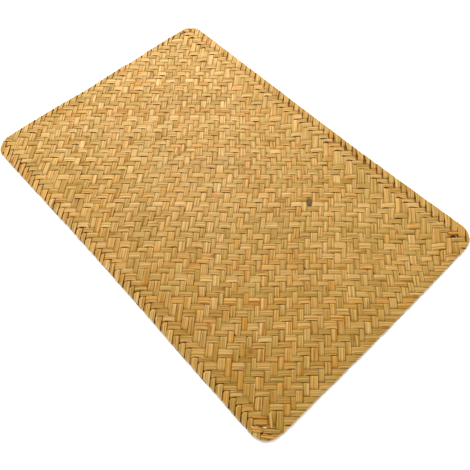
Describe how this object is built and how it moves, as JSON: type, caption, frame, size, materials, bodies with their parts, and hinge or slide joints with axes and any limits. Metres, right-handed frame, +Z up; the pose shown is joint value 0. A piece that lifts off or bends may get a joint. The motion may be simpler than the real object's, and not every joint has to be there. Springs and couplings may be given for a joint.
{
  "type": "bamboo placemat",
  "caption": "Flat rectangular placemat plaited from golden bamboo strips in a diagonal twill, with rounded corners and a folded rim.",
  "frame": {"origin": "centre of the mat's extents, on its underside", "axes": "+X along the long sides, +Y along the short sides, +Z up out of the mat's top face"},
  "size_m": [0.4552, 0.3046, 0.0026],
  "materials": {
    "bamboo": "dry split bamboo strips, straw gold, slightly glossy"
  },
  "bodies": {
    "root": {"mat": "bamboo"}
  },
  "joints": []
}
